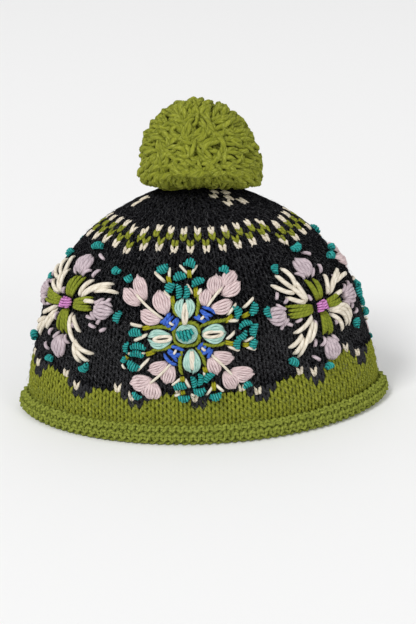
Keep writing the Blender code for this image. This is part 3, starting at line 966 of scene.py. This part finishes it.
# --------------------------------------
# The lilies: between the roses. Four olive petals round a pink knot, sheaves of long cream
# stamens between them, a lilac tulip beyond each petal, and teal knots and lilac flecks outside.

LILY_PETALS = (  # inner and outer ends of the middle, half width at the outer end
    ((0.2, 3.6), (0.0, 18.0), 3.9), ((4.6, 0.2), (17.6, 1.6), 3.4),
    ((0.6, -3.4), (0.6, -18.2), 3.4), ((-5.2, -0.2), (-23.0, 0.6), 3.0),
)
LILY_PETAL_SHARES = -1, -0.36, 0.34, 1  # of the half width, one for each strand
LILY_HEART = ((-1.7, -0.2), 80), ((1.7, 0.4), 95)
LILY_STAMENS = (  # ends and bow
    ((-8.3, 4.5), (-11.4, 20.0), 0.6), ((-8.9, 4.5), (-15.6, 17.0), 0.4),
    ((-9.5, 4.2), (-20.8, 10.0), 0.5), ((-12.6, 14.0), (-14.5, 28.2), -1.4),
    ((-13.6, 13.5), (-20.0, 24.6), 1.2), ((-14.0, 11.4), (-25.8, 19.0), 1.6),
    ((-7.6, -3.6), (-22.0, -12.4), 0.8), ((-7.6, -5.5), (-23.3, -27.4), 0.6),
    ((-17.0, -13.6), (-27.3, -20.5), 0.3),
    ((-6.4, -7.6), (-15.0, -20.4), 0.8), ((-16.6, -15.4), (-25.6, -25.0), 0.3),
    ((7.6, 5.4), (11.8, 17.4), 0.8), ((8.6, 5.4), (26.0, 17.0), 2.4), ((9.0, 4.6), (25.4, 14.8), 2.4),
    ((16.0, 10.2), (31.8, 11.6), 1.2), ((12.4, 3.2), (19.4, 4.0), 0.6),
)
LONG_SHEAF = (  # the lower right stamens and the bud at their ends
    (((5.5, -5.5), (12.6, -24.0), -1.4), ((11.6, -21.8), (18.4, -34.3), -1.0),
     ((11.0, -21.0), (26.0, -27.6), -1.2), ((7.4, -6.6), (14.2, -16.0), 0.6),
     ((13.4, -25.0), (23.6, -32.6), -0.6)),
    ((22.6, -36.4), 6.6, 5.4, 40),
)
HOOKED_SHEAF = (
    (((5.0, -3.4), (20.5, -18.4), 5.4), ((5.6, -4.6), (17.6, -17.6), 3.6),
     ((6.6, -3.0), (23.0, -16.0), 5.8), ((5.0, -6.4), (12.6, -19.4), 1.8)),
    ((25.4, -18.5), 6.6, 5.0, 60),
)
LILY_TULIPS = (  # base, then the way it opens in degrees, length
    ((-0.6, 18.6), 90, 14.0), ((19.6, 0.4), -4, 14.0),
    ((0.6, -19.6), -92, 15.5), ((-23.6, 0.0), 180, 12.5),
)
LILY_FLECKS = (  # place, length, heading
    (-26.0, 12.0, 5, 60), (-21.7, 8.0, 4, 40), (-13.0, 4.2, 6, -20), (-6.2, 6.6, 4, 110),
    (-24.0, -6.2, 5, -30), (-29.0, -7.0, 3, 60), (-17.0, -5.0, 5, 20), (-7.0, -10.0, 5, 80),
    (-10.0, -21.0, 5, 70), (-11.4, -30.5, 6, -40), (8.0, 32.8, 6, -30), (10.8, 21.6, 6, 70),
    (16.8, 12.6, 6, 60), (19.4, -5.6, 6, -10), (22.0, -10.4, 5, -20), (28.0, 5.8, 4, 60),
    (11.0, 2.6, 4, 10), (26.0, -7.2, 4, 70), (8.6, -12.4, 3, 90), (29.6, -12.0, 4, 30),
)
LILY_BUDS = (  # place, length, thickness, heading
    ((2.0, 38.4), 8.0, 5.2, 15), ((24.0, 25.4), 6.4, 5.0, -25), ((38.0, -2.6), 7.4, 5.0, 80),
    ((-5.0, -37.0), 6.0, 4.8, 5), ((-27.6, -29.0), 6.6, 5.6, -35),
    ((-35.4, 3.4), 7.2, 4.4, 85), ((-18.6, 28.4), 6.4, 4.4, 60),
)


def add_tulip(skein, ground, base, heading, length):
    """A closed bud of five fat strands, with a short loose one to each side of its foot."""
    base = np.array(base, float)
    way = direction(heading)
    aside = left_of(way)
    tip = base + way * length
    leaf(skein, ground, base, tip, 5.4, width=2.7, height=1.2, shares=np.linspace(-1, 1, 5))
    for side in (-1, 1):
        foot = base + aside * side * 3.0 - way * 0.5
        end = foot + (aside * side * 0.8 + way) * 5.0
        stitch(skein, ground, foot, end, 2.3, bow=-0.8 * side)


def add_lily(side, around, up, sheaf):
    ground = Ground(around, up)
    name = f"lily_{side}"
    petals, stamens, tulips, flecks, knots, heart = (Skein() for _ in range(6))
    for inner, outer, half in LILY_PETALS:
        gap = across(inner, outer)
        for share in LILY_PETAL_SHARES:
            foot = np.array(inner) + gap * 1.3 * share
            tip = np.array(outer) + gap * half * 1.05 * share + rng.normal(0, 0.7, 2)
            stitch(petals, ground, foot, tip, 2.3, bow=0.5 * share, height=0.8, points=8)
    for start, end, bow in LILY_STAMENS + sheaf[0]:
        stitch(stamens, ground, start, end, 2.85, bow=bow, height=0.9, points=9)
    for base, heading, length in LILY_TULIPS:
        add_tulip(tulips, ground, base, heading, length)
    for x, y, length, heading in LILY_FLECKS:
        way = direction(heading) * length / 2
        stitch(flecks, ground, (x, y) - way, (x, y) + way, 2.4, height=0.2, points=6, sides=5)
    for middle, length, thick, heading in (*LILY_BUDS, sheaf[1]):
        knot(knots, ground, middle, length, thick, heading)
    for middle, heading in LILY_HEART:
        knot(heart, ground, middle, 6.6, 5.4, heading, wool=1.5)
    petals.piece(f"{name}_petals", MOSS, "olive_wool", (f"{name}_flower",))
    stamens.piece(f"{name}_stamens", IVORY, "cream_wool", four(f"{name}_leaf"))
    tulips.piece(f"{name}_tulips", LAVENDER, "lilac_wool", four(f"{name}_tulip"))
    flecks.piece(f"{name}_flecks", LAVENDER, "lilac_wool")
    knots.piece(f"{name}_knots", TEAL, "teal_wool")
    heart.piece(f"{name}_heart", PINK, "lilac_wool")


add_lily("left", -0.187, 0.403, LONG_SHEAF)
add_lily("right", 0.1605, 0.372, HOOKED_SHEAF)
add_lily("back", 0.484, 0.390, LONG_SHEAF)


# --------------------------------------
# The bloom of the wool: the fine loose fibres that stand out of the knitted hem and crown. Each
# is one thin curled hair with its foot in the yarn.

FIBRE_RADIUS = 0.045 * MM
FIBRE_LENGTHS = 1.8, 5.5
FIBRE_FOOT = -0.2 * MM


def fibre_wool(name, colour):
    recipe = Recipe(name)
    return recipe.shade(Base_Color=(*colour, 1), Roughness=0.9, Specular_IOR_Level=0.2)


def add_fibre(skein, start, way, out):
    """One curled fibre that leaves start along way and lifts towards out."""
    length = rng.uniform(*FIBRE_LENGTHS) * MM
    aside = np.cross(way, out)
    t = np.linspace(0, 1, 5)[:, None]
    curl = rng.normal(0, 0.35)
    rise = rng.uniform(0.0, 0.3)
    path = start + way * length * t + aside * curl * length * t**2 + out * rise * length * np.sin(2.2 * t)
    skein.lay(path, out + aside * 0.01, FIBRE_RADIUS, sides=3)


def add_bloom(name, count, low, high, colour, slot):
    skein = Skein()
    around = rng.uniform(0, 1, count)
    reach = COURSE[(UPS >= low) & (UPS <= high)]
    levels = np.linspace(low, high, len(reach))
    up = rng.choice(levels, count, p=reach / reach.sum()) + rng.uniform(-0.004, 0.004, count)
    points, normals = on_knit(around, up, FIBRE_FOOT)
    for point, normal in zip(points, normals):
        way = rng.normal(size=3)
        add_fibre(skein, point, unit(way - normal * (way @ normal)), normal)
    skein.piece(name, fibre_wool(name, colour), slot)


add_bloom("bloom_on_hem", 900, 0.06, HEM_TOP, (0.36, 0.42, 0.10), "olive_wool")
add_bloom("bloom_on_crown", 2600, HEM_TOP, 0.96, (0.12, 0.12, 0.125), "black_wool")


# --------------------------------------
# The setting: a plain pale floor and white surroundings, a large soft lamp at the upper left in
# front and a weaker one at the right, and the camera in front of the hat and a little above it.

FLOOR_SIZE = 60
FLOOR_GREY = 0.87
SKY_STRENGTH = 0.64
LAMPS_AIM = (0, 0, 0.08)


def add_stage():
    bpy.ops.mesh.primitive_plane_add(size=FLOOR_SIZE)
    floor = bpy.context.object
    floor.name = "floor"
    paper = Recipe("pale_paper")
    floor.data.materials.append(paper.shade(Base_Color=(*[FLOOR_GREY] * 3, 1), Roughness=0.9))
    world = bpy.data.worlds.new("studio")
    world.use_nodes = True
    background = world.node_tree.nodes["Background"]
    background.inputs["Color"].default_value = (1, 1, 1, 1)
    background.inputs["Strength"].default_value = SKY_STRENGTH
    bpy.context.scene.world = world
    bpy.context.scene.view_settings.view_transform = "Standard"


def direction_angles(place, aim):
    return (Vector(aim) - Vector(place)).to_track_quat("-Z", "Y").to_euler()


def add_softbox(name, place, size, power):
    lamp = bpy.data.lights.new(name, "AREA")
    lamp.size, lamp.energy = size, power
    holder = bpy.data.objects.new(name, lamp)
    holder.location = place
    holder.rotation_euler = direction_angles(place, LAMPS_AIM)
    bpy.context.scene.collection.objects.link(holder)


CAMERA_ELEVATION, CAMERA_ROLL = 19.0, 2.45  # degrees
CAMERA_DISTANCE = 0.90
CAMERA_AIM_HEIGHT = 0.09
CAMERA_LENS, SENSOR_WIDTH = 85.1, 36  # mm
CAMERA_SHIFT = 0.0154, -0.0782


def add_camera():
    lens = bpy.data.cameras.new("camera")
    lens.lens, lens.sensor_width = CAMERA_LENS, SENSOR_WIDTH
    lens.shift_x, lens.shift_y = CAMERA_SHIFT
    camera = bpy.data.objects.new("camera", lens)
    tilt = math.radians(CAMERA_ELEVATION)
    back = (0, -math.cos(tilt), math.sin(tilt))
    camera.location = [CAMERA_DISTANCE * part for part in back]
    camera.location.z += CAMERA_AIM_HEIGHT
    camera.rotation_euler = direction_angles(camera.location, (0, 0, CAMERA_AIM_HEIGHT))
    camera.rotation_euler.rotate_axis("Z", -math.radians(CAMERA_ROLL))
    bpy.context.scene.collection.objects.link(camera)
    bpy.context.scene.camera = camera


add_stage()
add_softbox("key_softbox", (-4.8, -5.2, 8.4), 3.2, 600)
add_softbox("fill_softbox", (6.0, -6.8, 4.0), 4.0, 160)
add_camera()
